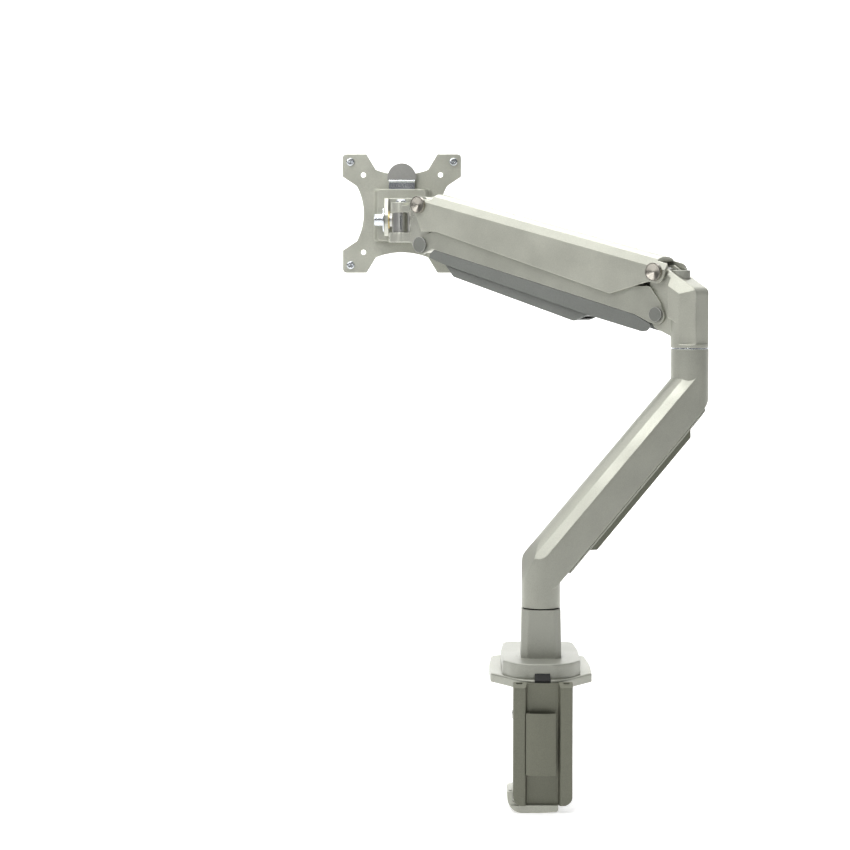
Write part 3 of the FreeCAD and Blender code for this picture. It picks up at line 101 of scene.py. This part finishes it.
def painted_edge_highlight(tree, radius):
    """Painted edge highlight mask: near 1 on sharp edges, 0 on flat faces."""
    geometry = tree.nodes.new("ShaderNodeNewGeometry")
    dot = tree.nodes.new("ShaderNodeVectorMath")
    dot.operation = "DOT_PRODUCT"
    tree.links.new(soft_normal(tree, radius), dot.inputs[0])
    tree.links.new(geometry.outputs["Normal"], dot.inputs[1])
    return spread(tree, dot.outputs["Value"], 1.0, 0.0, HIGHLIGHT_BELOW, FLAT_ABOVE)


def surface(name, colour, metal, rough, grain, grain_bump, mottle, edge_highlight, bevel, edge_highlight_colour=None, coat=0.0):
    """A detailed procedural finish: fine grain, mottled colour, varied roughness and edges painted lighter
    as a highlight.
    """
    mat = bpy.data.materials.new(name)
    mat.use_nodes = True
    tree = mat.node_tree
    shader = tree.nodes["Principled BSDF"]
    coords = tree.nodes.new("ShaderNodeTexCoord").outputs["Object"]
    fine = noise(tree, coords, grain, 2.0, 0.6)
    broad = noise(tree, coords, BLOTCH_SCALE, 4.0, 0.5)

    fine_shade = spread(tree, fine, -mottle, mottle)
    broad_shade = spread(tree, broad, -mottle / 2, mottle / 2)
    shade = added(tree, fine_shade, broad_shade)
    tone = tree.nodes.new("ShaderNodeMixRGB")
    tone.blend_type = "MULTIPLY"
    tone.inputs["Fac"].default_value = 1.0
    tone.inputs["Color1"].default_value = (*colour, 1)
    lift = tree.nodes.new("ShaderNodeMath")
    lift.operation = "ADD"
    lift.inputs[1].default_value = 1.0
    tree.links.new(shade, lift.inputs[0])
    tree.links.new(lift.outputs["Value"], tone.inputs["Color2"])

    # Painted highlight: sharp edges are mixed toward a lighter colour.
    edge_highlight_tint = edge_highlight_colour or tuple(min(1.0, part * HIGHLIGHT_LIGHTER) for part in colour)
    mix = tree.nodes.new("ShaderNodeMixRGB")
    mix.inputs["Color2"].default_value = (*edge_highlight_tint, 1)
    tree.links.new(scaled(tree, painted_edge_highlight(tree, bevel * 1.2), edge_highlight), mix.inputs["Fac"])
    tree.links.new(tone.outputs["Color"], mix.inputs["Color1"])
    tree.links.new(mix.outputs["Color"], shader.inputs["Base Color"])

    shader.inputs["Metallic"].default_value = metal
    roughness = spread(tree, broad, rough - ROUGH_VARY, rough + ROUGH_VARY)
    tree.links.new(roughness, shader.inputs["Roughness"])
    if coat > 0:
        shader.inputs["Coat Weight"].default_value = coat
        shader.inputs["Coat Roughness"].default_value = COAT_ROUGHNESS

    bump = tree.nodes.new("ShaderNodeBump")
    bump.inputs["Strength"].default_value = grain_bump
    bump.inputs["Distance"].default_value = GRAIN_DEPTH
    tree.links.new(fine, bump.inputs["Height"])
    tree.links.new(soft_normal(tree, bevel), bump.inputs["Normal"])
    tree.links.new(bump.outputs["Normal"], shader.inputs["Normal"])
    return mat



def paint(name, colour, metal, rough, grain_bump=0.16, edge_highlight=0.8, bevel=0.0009):
    """Fine metallic paint on a casting or a pressing, with edges painted lighter as a highlight."""
    return surface(name, colour, metal, rough, 1500, grain_bump, 0.10, edge_highlight, bevel)


def bright_metal(name, colour, rough, grain, grain_bump, mottle, edge_highlight=0.2, bevel=0.0003):
    """Bare or plated metal, with edges painted lighter as a highlight."""
    return surface(name, colour, 1.0, rough, grain, grain_bump, mottle, edge_highlight, bevel)


def cap_plastic(name, colour, edge_highlight, bevel):
    """Smooth grey plastic with a pale rim painted on as a highlight."""
    return surface(name, colour, 0.05, 0.48, 1100, 0.12, 0.07, edge_highlight, bevel, edge_highlight_colour=(0.6, 0.6, 0.57))


# Each finish below has its edges painted lighter as a highlight.
SILVER = paint("silver_paint", (0.43, 0.435, 0.375), 0.55, 0.40)
# Painted shade: a darker copy of the silver paint, for the lower castings.
SHADED_SILVER = paint("shaded_silver_paint", (0.36, 0.365, 0.315), 0.55, 0.40)
# Painted light: a lighter copy of the silver paint for the head, also glossier.
LIT_SILVER = paint("lit_silver_paint", (0.54, 0.545, 0.48), 0.72, 0.33, grain_bump=0.12)
BRACKET = paint("bracket_paint", (0.165, 0.168, 0.128), 0.45, 0.45, edge_highlight=0.30, bevel=0.0006)
COVER = surface("cover_plastic", (0.34, 0.345, 0.30), 0.30, 0.40, 1300, 0.14, 0.08, 0.25, 0.0008)
DARK = surface("grey_plastic", (0.145, 0.152, 0.14), 0.05, 0.50, 1100, 0.20, 0.08, 0.25, 0.0006)
TAB = cap_plastic("tab_plastic", (0.25, 0.25, 0.235), 0.6, 0.0006)
CAP = cap_plastic("cap_plastic", (0.15, 0.155, 0.14), 0.8, 0.0008)
STEEL = bright_metal("turned_steel", (0.50, 0.50, 0.48), 0.30, 900, 0.10, 0.05)
CONE = bright_metal("machined_cap", (0.36, 0.34, 0.30), 0.26, 700, 0.06, 0.05, edge_highlight=0.4, bevel=0.0004)
ZINC = bright_metal("bright_zinc", (0.66, 0.69, 0.72), 0.22, 600, 0.08, 0.06)
BRASS = bright_metal("brass", (0.55, 0.42, 0.18), 0.34, 700, 0.06, 0.08)
BLACK = surface("gas_black", (0.02, 0.02, 0.02), 0.0, 0.25, 500, 0.04, 0.10, 0.3, 0.0006,
                edge_highlight_colour=(0.1, 0.1, 0.1), coat=0.5)
RUBBER = surface("black_rubber", (0.016, 0.016, 0.016), 0.0, 0.75, 1200, 0.30, 0.15, 0.3, 0.0005,
                 edge_highlight_colour=(0.05, 0.05, 0.05))

FINISH = {
    "rubber": RUBBER, "silver_paint": SILVER, "grey_cover": COVER, "grey_plastic": DARK, "steel": STEEL,
    "black_paint": BLACK, "bright_zinc": ZINC, "brass": BRASS, "washer_plastic": RUBBER,
}
SPECIAL = {
    "clamp_bracket": BRACKET, "clamp_cable_clip": BRACKET, "lower_cable_duct": BRACKET,
    # Painted shade: the lower castings take the darker copy of the silver paint.
    "base_plate": SHADED_SILVER, "lower_arm": SHADED_SILVER, "lower_arm_cover": SHADED_SILVER,
    # Painted light: the head pieces take the lighter copy of the silver paint.
    "lower_link": SHADED_SILVER, "front_head": LIT_SILVER, "tilt_bracket": LIT_SILVER,
    "base_cover": COVER, "base_post": COVER, "elbow_knob": COVER,
    "rear_upper_caps": CONE, "front_upper_caps": CONE, "rear_lower_caps": CAP, "front_lower_caps": CAP,
    "knuckle": STEEL, "latch_tab": TAB,
}
slot_of = {part["node"]: part["material_slot"] for part in frame["record"]["subparts"]}
for name, obj in nodes.items():
    obj.data.materials.clear()
    obj.data.materials.append(SPECIAL.get(name, FINISH[slot_of[name]]))

# ------------------------------------------------------------------ floor, light, camera
low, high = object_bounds()
floor_z = low.z
FLOOR_NEAR, FLOOR_FAR, FLOOR_SIDE, WALL_TOP = -4.0, 5.0, 9.0, 8.0
SWEEP, SWEEP_STEPS = 2.5, 16
FLOOR_SHADE, FLOOR_GLOW, SKY_GLOW = 0.86, 0.42, 0.165


def sweep_floor():
    """A pale floor that curves up into a wall far behind."""
    rows = [(FLOOR_NEAR, 0.0), (FLOOR_FAR - SWEEP, 0.0)]
    for step in range(1, SWEEP_STEPS + 1):
        turn = math.pi / 2 * step / SWEEP_STEPS
        rows.append((FLOOR_FAR - SWEEP + SWEEP * math.sin(turn), SWEEP * (1 - math.cos(turn))))
    rows.append((FLOOR_FAR, WALL_TOP))
    verts, faces = [], []
    for y, z in rows:
        verts += [(-FLOOR_SIDE, y, floor_z + z), (FLOOR_SIDE, y, floor_z + z)]
    for i in range(len(rows) - 1):
        faces.append((2 * i, 2 * i + 1, 2 * i + 3, 2 * i + 2))
    mesh = bpy.data.meshes.new("floor")
    mesh.from_pydata(verts, [], faces)
    for poly in mesh.polygons:
        poly.use_smooth = True
    obj = bpy.data.objects.new("floor", mesh)
    scene.collection.objects.link(obj)
    mat = bpy.data.materials.new("floor")
    mat.use_nodes = True
    shader = mat.node_tree.nodes["Principled BSDF"]
    shader.inputs["Base Color"].default_value = (FLOOR_SHADE, FLOOR_SHADE, FLOOR_SHADE, 1)
    shader.inputs["Roughness"].default_value = 0.8
    shader.inputs["Emission Color"].default_value = (1, 1, 1, 1)
    shader.inputs["Emission Strength"].default_value = FLOOR_GLOW
    mesh.materials.append(mat)


sweep_floor()

world = bpy.data.worlds.new("studio")
scene.world = world
world.use_nodes = True
background = world.node_tree.nodes["Background"]
background.inputs["Color"].default_value = (1, 1, 1, 1)
background.inputs["Strength"].default_value = SKY_GLOW


def area(name, at, toward, size, power, spread_angle=180.0):
    """A rectangular lamp of some watts that looks from one point toward another."""
    data = bpy.data.lights.new(name, "AREA")
    data.shape = "RECTANGLE"
    data.size, data.size_y = size
    data.energy = power
    data.spread = math.radians(spread_angle)
    obj = bpy.data.objects.new(name, data)
    obj.location = at
    obj.rotation_mode = "QUATERNION"
    obj.rotation_quaternion = (Vector(toward) - Vector(at)).to_track_quat("-Z", "Y")
    scene.collection.objects.link(obj)


middle = (low + high) / 2
area("key", (-1.5, -0.5, 1.5), middle, (1.0, 1.0), 9)
area("crest", (-0.22, -0.85, 1.7), middle, (0.5, 0.5), 10)
area("top", (-0.2, 0.3, 2.2), middle, (2.4, 2.4), 28)
head_low, head_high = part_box("vesa_plate")
area("head_fill", (-0.5, -0.6, 0.8), (head_low + head_high) / 2, (0.4, 0.4), 0.4, 60.0)
area("floor_wash", (0.0, 2.2, 2.6), (0, 2.4, 0), (4.0, 2.0), 75)
area("back_wall", (0.0, 2.0, 2.4), (0, 4.5, 0.6), (3.0, 1.0), 85)

CAMERA_AT = (-0.074, -2.138, 0.360)
SENSOR_MM, LENS_MM = 36.0, 105.882
CAMERA_LEFT, CAMERA_DOWN = math.radians(0.6875), math.radians(3.7304)
camera_data = bpy.data.cameras.new("camera")
camera_data.sensor_width = SENSOR_MM
camera_data.lens = LENS_MM
camera_data.clip_end = 50
camera = bpy.data.objects.new("camera", camera_data)
scene.collection.objects.link(camera)
camera.location = CAMERA_AT
level = Vector((-math.sin(CAMERA_LEFT), math.cos(CAMERA_LEFT), 0))
forward = level * math.cos(CAMERA_DOWN) - Vector((0, 0, math.sin(CAMERA_DOWN)))
camera.rotation_mode = "QUATERNION"
camera.rotation_quaternion = forward.to_track_quat("-Z", "Y")
scene.camera = camera
scene.view_settings.view_transform = "Standard"
